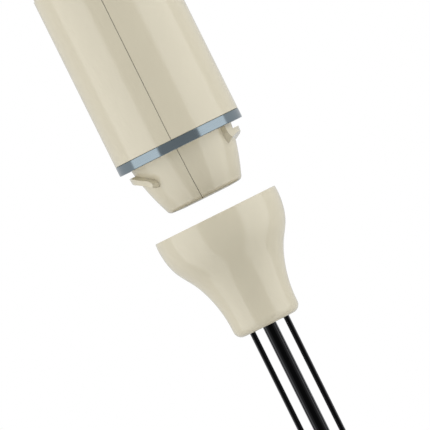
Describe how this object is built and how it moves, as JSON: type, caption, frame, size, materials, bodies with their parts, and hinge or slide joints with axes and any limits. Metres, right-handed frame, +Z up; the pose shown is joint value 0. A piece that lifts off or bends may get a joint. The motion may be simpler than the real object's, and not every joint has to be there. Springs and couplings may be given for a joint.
{
  "type": "immersion blender",
  "caption": "Hand-held immersion blender taken apart: a barrel motor unit with a tapered bayonet nose, and a pull-off arm with a flared bell, steel rods and a bladed guard.",
  "frame": {"origin": "centre of the circle that the blade guard's rim stands on", "axes": "+Z up along the common axis of arm and motor unit, -Y towards the buttons, +X to the right of someone who faces the buttons"},
  "size_m": [0.0602, 0.0602, 0.4301],
  "materials": {
    "cream_plastic": "satin moulded",
    "trim_metal": "satin anodised",
    "stainless": "polished",
    "plated_screw": "zinc plated",
    "soft_grip": "soft touch",
    "button_plastic": "fine texture",
    "grey_rubber": "moulded",
    "black_rubber": "moulded",
    "white_nylon": "moulded",
    "black_plastic": "glass filled",
    "red_plastic": "moulded",
    "board_green": "solder mask",
    "lamination_steel": "stacked plates",
    "turned_steel": "ground",
    "copper_wire": "enamelled",
    "commutator_copper": "turned",
    "carbon": "pressed",
    "brass": "folded",
    "bronze": "sintered",
    "spring_steel": "drawn wire",
    "lead_insulation": "extruded"
  },
  "bodies": {
    "motor_unit": {"front_shell": "cream_plastic", "rear_shell": "cream_plastic", "trim_ring": "trim_metal", "top_cap": "cream_plastic", "cable_gland": "grey_rubber", "button_bezel": "soft_grip", "grip_pad": "soft_grip", "case_screws": "plated_screw", "control_board": "board_green", "switches": "black_plastic", "board_components": "black_plastic", "motor_leads": "lead_insulation", "stator_core": "lamination_steel", "stator_coils": "copper_wire", "motor_bracket_lower": "black_plastic", "motor_bracket_upper": "black_plastic", "motor_screws": "plated_screw", "lower_bearing": "turned_steel", "upper_bearing": "bronze", "motor_shaft_seal": "black_rubber", "brushes": "carbon", "brush_holders": "brass", "brush_springs": "spring_steel", "on_spring": "spring_steel", "turbo_spring": "spring_steel"},
    "rotor": {"rotor_shaft": "turned_steel", "rotor_core": "lamination_steel", "rotor_windings": "copper_wire", "commutator": "commutator_copper", "cooling_fan": "white_nylon", "motor_coupler": "white_nylon"},
    "coupling_seal": {"bell_seal": "grey_rubber"},
    "arm": {"bell_housing": "cream_plastic", "coupling_liner": "white_nylon", "upper_bush": "bronze", "rod_plate": "stainless", "plate_screws": "plated_screw", "front_rod": "stainless", "rear_rod": "stainless", "shaft_tube": "stainless", "blade_guard": "cream_plastic", "guard_skirt": "cream_plastic", "lower_bush": "bronze", "lip_seal": "black_rubber"},
    "blade_shaft": {"drive_shaft": "stainless", "shaft_coupler": "white_nylon", "retaining_clip": "plated_screw", "thrust_washer": "white_nylon", "blade_hub": "stainless", "upper_blade": "stainless", "lower_blade": "stainless", "blade_nut": "stainless"},
    "on_button": {"on_button": "button_plastic", "on_plunger": "red_plastic"},
    "turbo_button": {"turbo_button": "button_plastic", "turbo_plunger": "red_plastic"}
  },
  "joints": [
    {"name": "motor_spin", "type": "hinge", "parent": "motor_unit", "child": "rotor", "pos_m": [0, 0, 0.2796], "axis": [0, 0, 1], "continuous": true},
    {"name": "arm_slide", "type": "slide", "parent": "motor_unit", "child": "coupling_seal", "axis": [0, 0, 1], "range_m": [0, 0.0332]},
    {"name": "arm_twist", "type": "hinge", "parent": "coupling_seal", "child": "arm", "pos_m": [0, 0, 0.2061], "axis": [0, 0, -1], "range_deg": [0, 60]},
    {"name": "blade_spin", "type": "hinge", "parent": "arm", "child": "blade_shaft", "pos_m": [0, 0, 0.1901], "axis": [0, 0, 1], "continuous": true},
    {"name": "on_press", "type": "slide", "parent": "motor_unit", "child": "on_button", "axis": [0, 1, 0], "range_m": [0, 0.0016], "stiffness_N_per_m": 500, "springref_m": -0.002, "deforming": ["on_spring"]},
    {"name": "turbo_press", "type": "slide", "parent": "motor_unit", "child": "turbo_button", "axis": [0, 1, 0], "range_m": [0, 0.0016], "stiffness_N_per_m": 500, "springref_m": -0.002, "deforming": ["turbo_spring"]}
  ],
  "couplings": [
    {"joint": "blade_spin", "follows": "motor_spin", "ratio": 1}
  ]
}
